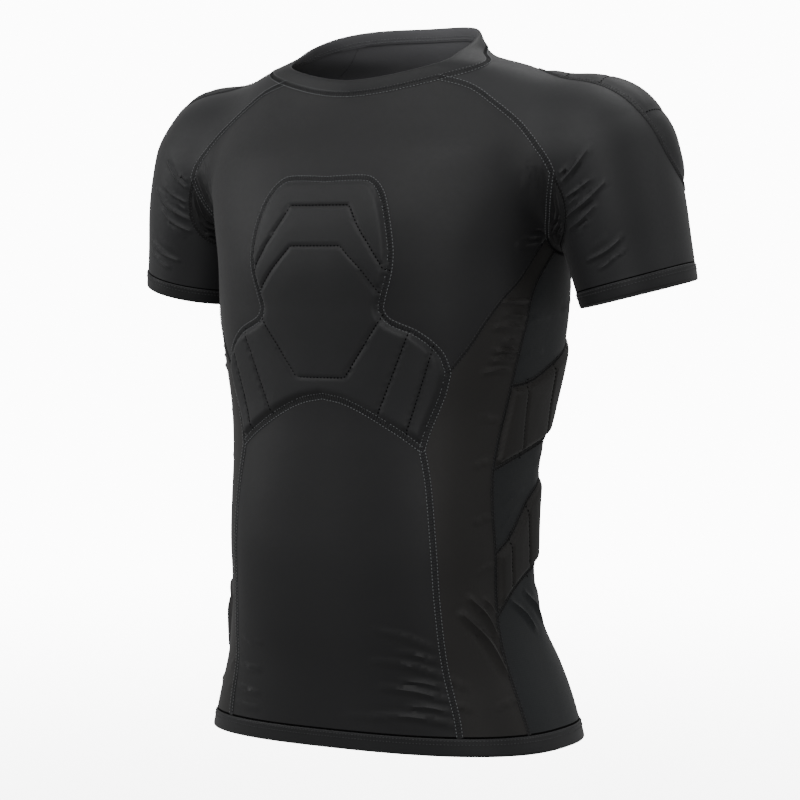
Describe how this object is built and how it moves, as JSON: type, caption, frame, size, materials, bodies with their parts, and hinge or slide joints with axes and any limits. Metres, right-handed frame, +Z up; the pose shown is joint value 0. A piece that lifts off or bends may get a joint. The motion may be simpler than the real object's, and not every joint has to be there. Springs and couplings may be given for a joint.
{
  "type": "padded compression shirt",
  "caption": "Short-sleeved padded compression shirt, filled out as if worn, with quilted foam pads on the chest, ribs, waist and shoulders.",
  "frame": {"origin": "on the mid-plane between the shoulders, level with the sides of the neckline, where the wearer's shoulders hold the shirt up", "axes": "+Z up, the front faces -Y, +X towards the wearer's left"},
  "size_m": [0.6162, 0.2894, 0.7064],
  "materials": {
    "front_cloth": "smooth satin knit, nearly black",
    "side_cloth": "smooth satin knit, warm black",
    "flank_cloth": "fine open knit, cool black",
    "sleeve_cloth": "smooth satin knit, nearly black",
    "pad_cloth": "smooth knit quilted over foam, nearly black",
    "gusset_cloth": "smooth satin knit, black",
    "band_cloth": "doubled knit, nearly black"
  },
  "bodies": {
    "root": {"chest": "front_cloth", "chest_pad": "pad_cloth", "abdomen": "front_cloth", "back": "front_cloth", "neck_band": "band_cloth", "hem_band": "band_cloth", "left_side_front": "side_cloth", "left_flank_upper": "flank_cloth", "left_rib_pad": "pad_cloth", "left_flank_mid": "flank_cloth", "left_kidney_pad": "pad_cloth", "left_flank_lower": "flank_cloth", "left_sleeve": "sleeve_cloth", "left_shoulder_pad": "pad_cloth", "left_gusset": "gusset_cloth", "left_cuff": "band_cloth", "right_side_front": "side_cloth", "right_flank_upper": "flank_cloth", "right_rib_pad": "pad_cloth", "right_flank_mid": "flank_cloth", "right_kidney_pad": "pad_cloth", "right_flank_lower": "flank_cloth", "right_sleeve": "sleeve_cloth", "right_shoulder_pad": "pad_cloth", "right_gusset": "gusset_cloth", "right_cuff": "band_cloth"}
  },
  "joints": []
}
